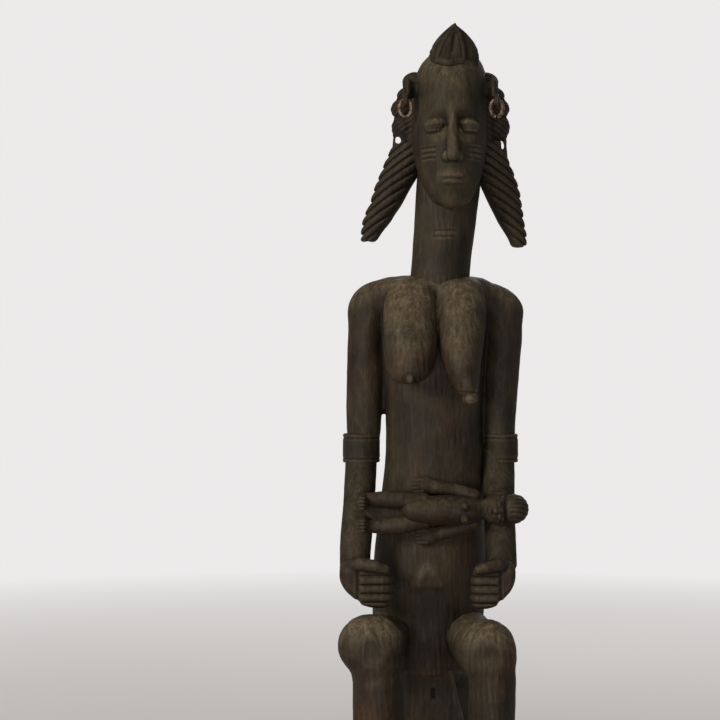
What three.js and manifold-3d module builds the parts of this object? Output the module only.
// A seated mother-and-child ancestor figure, carved in dark hardwood, with a wire ring in each ear.
// Units are millimetres. The figure sits on a stool on a plinth, faces -Y, and +Z is up. The origin is the
// centre of the plinth's underside. "Right" and "left" are the figure's own, so its right side is at -X.
import * as THREE from "three";
import { mergeVertices } from "three/addons/utils/BufferGeometryUtils.js";
import Module from "manifold-3d";

const wasm = await Module();
wasm.setup();

// Driving dimensions
const GAP = 0.3; // clearance kept between neighbouring members
const PLINTH_WIDTH = 160;
const PLINTH_DEPTH = 210;
const PLINTH_TOP = 24; // the plinth's thickness
const PLINTH_CORNER = 46; // radius of its rounded corners
const PLINTH_BEVEL = 2;
const PLINTH_Y = -31; // the members are laid out about the stool's axis, this far behind the plinth's centre
const SEAT_TOP = 200; // where the hips meet the stool
const SEAT_THICK = 15;
const TRUNK_X = 8; // the trunk stands this far to the left of the plinth's centre
const HEAD_X = 19; // the head leans further to the left
const NECK_BASE = 521;
const BAND_LOW = 368; // the armbands' lower and upper edges
const BAND_HIGH = 392;
const KNEE_Y = -98; // the middle of the kneecaps
const KNEE_Z = 231;
const CHILD_Y = -49; // the line that the child lies along
const CHILD_Z = 332;

// The wire earrings, and the pierced ears that they hang in
const EAR_OUT = 37.4; // from the head's middle to the middle of the ear's plate
const EAR_THICK = 4.5;
const EAR_HOLE_R = 2.5;
const EAR_LOBE_R = 4.8; // the lobe is round about the hole, so the ring swings freely
const EAR_HOLE_Y = -28;
const EAR_HOLE_Z = 668;
const EAR_ROOT_R = 7; // the root joins the plate to the head
const EAR_ROOT_BACK = 10; // its middle is this far behind the hole, and this far above it
const EAR_ROOT_RISE = 12;
const EAR_ROOT_IN = 26; // it starts this far from the head's middle
const RING_HALF_WIDTH = 5; // to the middle of the wire
const RING_HALF_HEIGHT = 7;
const RING_RISE = 0.45; // the wire's middle passes this far above the hole's
const RING_WIRE_R = 1.5;
const RING_SLIT = 0.24; // radians left open between the wire's ends
const RING_BENDS = 24; // straight runs that the wire's bend is drawn with

const WOOD = new THREE.MeshStandardMaterial({ color: 0x3a3129, roughness: 0.6, metalness: 0 });
const HAIR_WOOD = new THREE.MeshStandardMaterial({ color: 0x2e2620, roughness: 0.65, metalness: 0 });
const COPPER = new THREE.MeshStandardMaterial({ color: 0x96694a, roughness: 0.35, metalness: 1 });

// A section's outline in unit coordinates: [across, through] at an angle
const oval = (angle) => [Math.cos(angle), Math.sin(angle)];
// A pointed arch over a round underside, for the crest
const arch = (angle) => {
  const across = Math.cos(angle);
  const rise = Math.sin(angle);
  return rise > 0 ? [across * Math.abs(across), rise] : [across, rise];
};

// A closed skin through oval sections, made by moving a sphere's vertices. Each station is
// [x, y, z, halfAcross, halfThrough], listed from low to high along the row axis `along`, and its section
// lies square to that axis. `ends` says how much of the length is rounded off at each end; 0 is a flat end.
// `grow` makes the skin larger all round, for cutting a neighbour back from it.
function member(along, stations, options = {}) {
  const { sides = 12, steps = 8, ends = [0.2, 0.2], section = oval } = options;
  const centres = new THREE.CatmullRomCurve3(stations.map(([x, y, z]) => new THREE.Vector3(x, y, z)));
  const halves = new THREE.CatmullRomCurve3(stations.map(([, , , a, b]) => new THREE.Vector3(a, b, 0)));
  const first = 0.1 * ends[0];
  const last = 1 - 0.1 * ends[1];
  const rounding = (t, share) => (t < share ? Math.sqrt(1 - (1 - t / share) ** 2) : 1);
  return (grow = 0) => {
    const skin = new THREE.SphereGeometry(1, sides, steps);
    const places = skin.getAttribute("position");
    for (let i = 0; i < places.count; i++) {
      const row = steps - Math.floor(i / (sides + 1));
      const column = (i % (sides + 1)) % sides;
      const pole = row === 0 || row === steps;
      const even = THREE.MathUtils.clamp((row - 1) / (steps - 2), 0, 1);
      const t = pole ? even : first + (last - first) * (0.5 - 0.5 * Math.cos(Math.PI * even));
      const size = pole ? 0 : rounding(t, ends[0]) * rounding(1 - t, ends[1]);
      const centre = centres.getPoint(t);
      const half = halves.getPoint(t);
      const [across, through] = section(Math.PI - (2 * Math.PI * column) / sides);
      const a = across * size * (half.x + grow);
      const b = through * size * (half.y + grow);
      const push = grow * (2 * even - 1);
      if (along === "z") places.setXYZ(i, centre.x + a, centre.y - b, centre.z + push);
      if (along === "y") places.setXYZ(i, centre.x + a, centre.y + push, centre.z + b);
      if (along === "x") places.setXYZ(i, centre.x + push, centre.y - a, centre.z + b);
    }
    return skin;
  };
}

// A turned solid about a vertical axis at (x, y), from [radius, z] corners, listed upwards. `deep` stretches
// it front to back.
function turned(x, y, corners, { sides = 28, deep = 1 } = {}) {
  return (grow = 0) => {
    const low = corners[0][1] - grow;
    const high = corners.at(-1)[1] + grow;
    const wall = corners.map(([r, z], i) => {
      const edge = i === 0 ? low : i === corners.length - 1 ? high : z;
      return new THREE.Vector2(r + grow, edge);
    });
    const profile = [new THREE.Vector2(0, low), ...wall, new THREE.Vector2(0, high)];
    return new THREE.LatheGeometry(profile, sides).rotateX(Math.PI / 2).scale(1, deep, 1).translate(x, y, 0);
  };
}

function solidOf(geometry) {
  const bare = geometry.clone();
  bare.deleteAttribute("normal");
  bare.deleteAttribute("uv");
  const merged = mergeVertices(bare, 1e-4);
  const vertProperties = merged.getAttribute("position").array;
  const triVerts = new Uint32Array(merged.index.array);
  return new wasm.Manifold(new wasm.Mesh({ numProp: 3, vertProperties, triVerts }));
}

function geometryOf(solid) {
  const { vertProperties, triVerts, numProp } = solid.getMesh();
  const places = new THREE.BufferAttribute(new Float32Array(vertProperties), numProp);
  const geometry = new THREE.BufferGeometry();
  geometry.setAttribute("position", places);
  geometry.setIndex(new THREE.BufferAttribute(new Uint32Array(triVerts), 1));
  geometry.computeVertexNormals();
  return geometry;
}

const figure = new THREE.Group();
const carved = []; // what has been placed so far: its grown solid and that solid's box

const boxesMeet = (a, b) => [0, 1, 2].every((i) => a.min[i] < b.max[i] && b.min[i] < a.max[i]);

// Adds one member of the carving. It is cut back, with the gap, from every member placed before it.
function carve(name, shape, material = WOOD) {
  let solid = solidOf(shape());
  const box = solid.boundingBox();
  for (const earlier of carved) {
    if (boxesMeet(box, earlier.box)) solid = solid.subtract(earlier.grown);
  }
  const largest = solid.decompose().sort((a, b) => b.volume() - a.volume())[0];
  const mesh = new THREE.Mesh(geometryOf(largest), material);
  mesh.name = name;
  figure.add(mesh);
  const grown = solidOf(shape(GAP));
  carved.push({ grown, box: grown.boundingBox() });
}

// The plinth is a slab with rounded corners and a small bevel all round its top and bottom edges
function plinthSlab(grow = 0) {
  const w = PLINTH_WIDTH / 2 - PLINTH_BEVEL + grow;
  const d = PLINTH_DEPTH / 2 - PLINTH_BEVEL + grow;
  const r = PLINTH_CORNER - PLINTH_BEVEL;
  const outline = new THREE.Shape();
  outline.absarc(w - r, d - r, r, 0, Math.PI / 2, false);
  outline.absarc(-w + r, d - r, r, Math.PI / 2, Math.PI, false);
  outline.absarc(-w + r, -d + r, r, Math.PI, 1.5 * Math.PI, false);
  outline.absarc(w - r, -d + r, r, 1.5 * Math.PI, 2 * Math.PI, false);
  const slab = new THREE.ExtrudeGeometry(outline, {
    depth: PLINTH_TOP - 2 * PLINTH_BEVEL + 2 * grow,
    bevelSize: PLINTH_BEVEL,
    bevelThickness: PLINTH_BEVEL,
    bevelSegments: 1,
    curveSegments: 8,
  });
  return slab.translate(0, PLINTH_Y, PLINTH_BEVEL - grow);
}

// The plinth, and the stool with its flaring pedestal
carve("plinth", plinthSlab);
const pedestal = [
  [0, 2, PLINTH_TOP + GAP, 46, 57],
  [0, 2, 50, 42, 51],
  [0, 2, 110, 37, 39],
  [0, 2, 157, 35, 32],
  [0, 2, SEAT_TOP - SEAT_THICK - GAP, 36, 30],
];
carve("stool_pedestal", member("z", pedestal, { sides: 28, steps: 9, ends: [0, 0] }));
const seat = [[36, SEAT_TOP - SEAT_THICK], [40, SEAT_TOP - 10], [40, SEAT_TOP - 4], [38, SEAT_TOP - GAP]];
carve("stool_seat", turned(0, 16, seat, { deep: 1.05 }));

// The trunk, from the hips to the shoulder line
carve(
  "trunk",
  member(
    "z",
    [
      [0, 8, SEAT_TOP, 38, 38],
      [1, 10, 228, 46, 44],
      [4, 3, 290, 45.5, 36],
      [TRUNK_X, 0, 360, 41.5, 31],
      [TRUNK_X, 0, 430, 42, 33],
      [TRUNK_X, 2, 490, 48, 36],
      [TRUNK_X + 2, 2, 522, 42, 30],
    ],
    { sides: 20, steps: 12, ends: [0, 0.1] },
  ),
);
carve(
  "neck",
  member(
    "z",
    [
      [12.5, -2, NECK_BASE - 4, 25, 27],
      [15, -3, 550, 24.5, 26],
      [19, -2, 585, 25.5, 28],
      [20, 4, 612, 26, 30],
    ],
    { sides: 16, steps: 5, ends: [0, 0] },
  ),
);
carve(
  "head",
  member(
    "z",
    [
      [HEAD_X - 2, -38, 578, 13, 12],
      [HEAD_X - 2, -22, 600, 23, 30],
      [HEAD_X - 1, -8, 625, 30, 44],
      [HEAD_X, 0, 650, 32.5, 52],
      [HEAD_X, 2, 680, 30.5, 50],
      [HEAD_X + 1, 2, 702, 26, 38],
      [HEAD_X + 1, 2, 716, 18, 24],
    ],
    { sides: 18, steps: 12, ends: [0.08, 0.12] },
  ),
);
carve(
  "crest",
  member(
    "y",
    [
      [HEAD_X + 2, -41, 702, 13, 21],
      [HEAD_X + 3, -30, 703, 18.5, 27],
      [HEAD_X + 4, -10, 707, 20, 31],
      [HEAD_X + 4, 8, 708, 20, 31],
      [HEAD_X + 3, 28, 697, 16, 29],
      [HEAD_X + 2, 46, 672, 11, 26],
      [HEAD_X + 1, 56, 650, 8, 18],
    ],
    { sides: 20, steps: 12, ends: [0.1, 0.16], section: arch },
  ),
  HAIR_WOOD,
);

const SIDES = [
  ["right", -1],
  ["left", 1],
];

// The coiffure: a lumpy plait over each temple, and a broad tress that flares from below it
const LUMPS = 5;
for (const [side, sign] of SIDES) {
  const plait = [[HEAD_X + sign * 38, 14, 636, 9, 15]];
  for (let i = 0; i <= 2 * LUMPS; i++) {
    const up = i / (2 * LUMPS);
    const out = 41 - 8 * up ** 2;
    const swell = i % 2 ? 1.5 : -1;
    plait.push([HEAD_X + sign * out, 10, 642 + 56 * up, 8 + swell - 2 * up, 19 - 5 * up]);
  }
  carve(`plait_${side}`, member("z", plait, { sides: 10, steps: 13, ends: [0.1, 0.1] }), HAIR_WOOD);
  const tipZ = sign < 0 ? 556 : 549;
  const tipOut = sign < 0 ? 65 : 61.5;
  const middleOut = sign < 0 ? 48 : 49;
  carve(
    `tress_${side}`,
    member(
      "z",
      [
        [HEAD_X + sign * tipOut, 12, tipZ, 7, 8],
        [HEAD_X + sign * (middleOut + tipOut) * 0.5, 11, tipZ + 20, 11, 10],
        [HEAD_X + sign * middleOut, 10, 592, 14, 12],
        [HEAD_X + sign * 39, 10, 616, 15, 14],
        [HEAD_X + sign * 34, 12, 635, 12, 15],
      ],
      { sides: 12, steps: 9, ends: [0.08, 0.1] },
    ),
    HAIR_WOOD,
  );
}

// An ear is a plate square to X, round about its pierced lobe and widening upwards and back to the head
function earPlate(sign) {
  return () => {
    const outline = new THREE.Shape();
    outline.moveTo(-EAR_LOBE_R, 0);
    outline.absarc(0, 0, EAR_LOBE_R, Math.PI, 2 * Math.PI, false);
    outline.bezierCurveTo(8, 6, 11, 10, 10, 17);
    outline.bezierCurveTo(9, 22, 0, 22, -3, 16);
    outline.bezierCurveTo(-5, 10, -EAR_LOBE_R, 5, -EAR_LOBE_R, 0);
    const hole = new THREE.Path();
    hole.absarc(0, 0, EAR_HOLE_R, 0, 2 * Math.PI, true);
    outline.holes.push(hole);
    const settings = { depth: EAR_THICK, bevelEnabled: false, curveSegments: 6 };
    const plate = new THREE.ExtrudeGeometry(outline, settings);
    // the outline's first axis runs back along +Y, its second up along +Z
    plate.translate(0, 0, -EAR_THICK / 2).applyMatrix4(
      new THREE.Matrix4().makeBasis(
        new THREE.Vector3(0, 1, 0),
        new THREE.Vector3(0, 0, 1),
        new THREE.Vector3(1, 0, 0),
      ),
    );
    return plate.translate(HEAD_X + sign * EAR_OUT, EAR_HOLE_Y, EAR_HOLE_Z);
  };
}

// A root joins each ear's plate to the side of the head, above the lobe
function earRoot(sign) {
  const inside = HEAD_X + sign * EAR_ROOT_IN;
  const outside = HEAD_X + sign * (EAR_OUT - EAR_THICK / 2);
  const run = [Math.min(inside, outside), Math.max(inside, outside)];
  const y = EAR_HOLE_Y + EAR_ROOT_BACK;
  const z = EAR_HOLE_Z + EAR_ROOT_RISE;
  const stations = run.map((x) => [x, y, z, EAR_ROOT_R, EAR_ROOT_R]);
  return member("x", stations, { sides: 12, steps: 4, ends: [0, 0] });
}

// An open oval ring of wire in the X-Z plane, hanging from the ear's hole
function wireRing(sign) {
  const bend = new THREE.CatmullRomCurve3(
    Array.from({ length: RING_BENDS + 1 }, (_, i) => {
      const angle = -Math.PI / 2 + RING_SLIT / 2 + ((2 * Math.PI - RING_SLIT) * i) / RING_BENDS;
      return new THREE.Vector3(RING_HALF_WIDTH * Math.cos(angle), 0, RING_HALF_HEIGHT * Math.sin(angle));
    }),
  );
  const section = new THREE.Shape().absarc(0, 0, RING_WIRE_R, 0, 2 * Math.PI, false);
  const wire = new THREE.ExtrudeGeometry(section, { steps: 30, extrudePath: bend, curveSegments: 4 });
  return wire.translate(HEAD_X + sign * EAR_OUT, EAR_HOLE_Y, EAR_HOLE_Z + RING_RISE - RING_HALF_HEIGHT);
}

for (const [side, sign] of SIDES) {
  const plate = solidOf(earPlate(sign)());
  const root = solidOf(earRoot(sign)());
  const ear = () => geometryOf(plate.add(root));
  carve(`ear_${side}`, ear);
  const ring = new THREE.Mesh(wireRing(sign), COPPER);
  ring.name = `earring_${side}`;
  figure.add(ring);
}

// The arms: upper arm, armband, forearm and fist. The left arm stands a little closer to the trunk. The first
// six are places across X; `cuff` and `palm` are half widths.
const ARMS = {
  right: { shoulder: -43, arm: -50.5, elbow: -53, band: -54.4, wrist: -59, fist: -50, cuff: 15.2, palm: 20 },
  left: { shoulder: 57, arm: 64, elbow: 60.6, band: 62.2, wrist: 59, fist: 50, cuff: 14.5, palm: 18 },
};
for (const [side, sign] of SIDES) {
  const { shoulder, arm, elbow, band, wrist, fist, cuff, palm } = ARMS[side];
  carve(
    `upper_arm_${side}`,
    member(
      "z",
      [
        [elbow, 6, BAND_HIGH + GAP, 13.8, 16],
        [(arm + elbow) / 2, 5, 440, 14.8, 17],
        [arm, 3, 486, 15, 18.5],
        [shoulder, 2, 517, 16, 16],
      ],
      { ends: [0, 0.2], steps: 10 },
    ),
  );
  const bandStations = [
    [band, 4, BAND_LOW, cuff, 18],
    [band, 5, BAND_HIGH, cuff, 18],
  ];
  carve(`armband_${side}`, member("z", bandStations, { sides: 18, steps: 4, ends: [0, 0] }));
  carve(
    `forearm_${side}`,
    member(
      "z",
      [
        [wrist, -52, 286, 12.5, 13],
        [(wrist + elbow) / 2, -28, 322, 12.8, 14.5],
        [elbow - 2.5, 2, BAND_LOW - GAP, 13, 15],
      ],
      { ends: [0.05, 0], steps: 8 },
    ),
  );
  carve(
    `fist_${side}`,
    member(
      "z",
      [
        [fist - sign * 6, -66, 256, 12, 15],
        [fist - sign * 2, -66, 266, palm - 2, 20],
        [fist, -65, 280, palm, 21],
        [fist + sign * 2, -62, 296, palm - 3, 17],
      ],
      { steps: 8, ends: [0.25, 0.3] },
    ),
  );
}

// The legs: thigh with its kneecap, shin and foot
const LEGS = {
  right: { hip: -27, knee: -45, shin: -41 },
  left: { hip: 29, knee: 44, shin: 49 },
};
for (const [side] of SIDES) {
  const { hip, knee, shin } = LEGS[side];
  carve(
    `thigh_${side}`,
    member(
      "y",
      [
        [knee, KNEE_Y - 19, KNEE_Z - 3, 19, 17],
        [knee, KNEE_Y, KNEE_Z, 25.5, 24.5],
        [knee * 0.97, KNEE_Y + 24, KNEE_Z, 24, 23],
        [(hip + knee) / 2, -32, 225, 23, 22.5],
        [hip, 6, 225, 22, 24],
      ],
      { sides: 18, steps: 11, ends: [0.14, 0] },
    ),
  );
  carve(
    `shin_${side}`,
    member(
      "z",
      [
        [shin, -84, 34, 13, 14],
        [shin, -87, 90, 15.5, 17],
        [shin, -88, 150, 17.8, 20],
        [(shin + knee) / 2, -90, 216, 18.5, 20],
      ],
      { ends: [0.04, 0], steps: 8 },
    ),
  );
  carve(
    `foot_${side}`,
    member(
      "y",
      [
        [shin, -122, PLINTH_TOP + 5, 17, 6],
        [shin, -108, PLINTH_TOP + 8, 17.5, 9],
        [shin, -90, PLINTH_TOP + 12, 14.5, 13],
        [shin, -70, PLINTH_TOP + 10, 11, 10],
      ],
      { steps: 8, ends: [0.2, 0.2] },
    ),
  );
}

// The breasts hang from the chest, the left one longer and more pointed
const BREASTS = {
  right: [
    [-15, -62, 433, 14, 12],
    [-14.5, -52, 455, 20.5, 22],
    [-13, -38, 490, 21, 20],
    [-10, -24, 516, 16, 12],
  ],
  left: [
    [35, -66, 420, 7, 7],
    [31, -54, 448, 16, 20],
    [29, -38, 485, 20, 20],
    [28, -24, 516, 16, 12],
  ],
};
for (const [side] of SIDES) {
  carve(`breast_${side}`, member("z", BREASTS[side], { steps: 10, ends: [0.2, 0.2] }));
}

// The child lies along +X on its mother's forearms, with its own right side uppermost
carve(
  "child_torso",
  member(
    "x",
    [
      [-21, CHILD_Y, CHILD_Z, 12, 8],
      [-4, CHILD_Y, CHILD_Z, 16, 12],
      [18, CHILD_Y, CHILD_Z, 15.5, 12],
      [34, CHILD_Y, CHILD_Z, 13.5, 11],
      [46, CHILD_Y, CHILD_Z + 1, 7.5, 7.5],
    ],
    { steps: 10, ends: [0.12, 0] },
  ),
);
carve(
  "child_head",
  member(
    "x",
    [
      [44, CHILD_Y - 1, CHILD_Z + 1, 9, 8.5],
      [53, CHILD_Y - 2, CHILD_Z + 1.5, 14, 12],
      [66, CHILD_Y - 1, CHILD_Z + 2, 15, 13],
      [82, CHILD_Y, CHILD_Z + 2, 10, 9.5],
    ],
    { steps: 9, ends: [0.05, 0.25] },
  ),
);
const CHILD_LIMBS = {
  // rise of the leg, of the foot, then of the hand and of the shoulder, above the line the child lies along
  right: { leg: 8.5, foot: 8, hand: 20, shoulder: 16 },
  left: { leg: -11, foot: -11.5, hand: -25, shoulder: -15 },
};
for (const [side] of SIDES) {
  const { leg, foot, hand, shoulder } = CHILD_LIMBS[side];
  carve(
    `child_leg_${side}`,
    member(
      "x",
      [
        [-60, CHILD_Y - 3, CHILD_Z + foot, 10, 8],
        [-50, CHILD_Y + 1, CHILD_Z + foot, 9, 7],
        [-40, CHILD_Y + 1, CHILD_Z + leg, 9.5, 7],
        [-14, CHILD_Y, CHILD_Z + leg * 0.8, 12, 8],
      ],
      { sides: 12, steps: 9, ends: [0.12, 0] },
    ),
  );
  carve(
    `child_arm_${side}`,
    member(
      "x",
      [
        [-10, CHILD_Y + 14, CHILD_Z + hand, 7, 6],
        [2, CHILD_Y + 14, CHILD_Z + hand, 7, 6],
        [20, CHILD_Y + 13, CHILD_Z + (hand + shoulder) / 2, 7, 5.5],
        [40, CHILD_Y + 8, CHILD_Z + shoulder, 8, 7],
      ],
      { sides: 12, steps: 9, ends: [0.12, 0.12] },
    ),
  );
}

for (const mesh of figure.children) mesh.geometry.translate(0, -PLINTH_Y, 0);

export default figure;
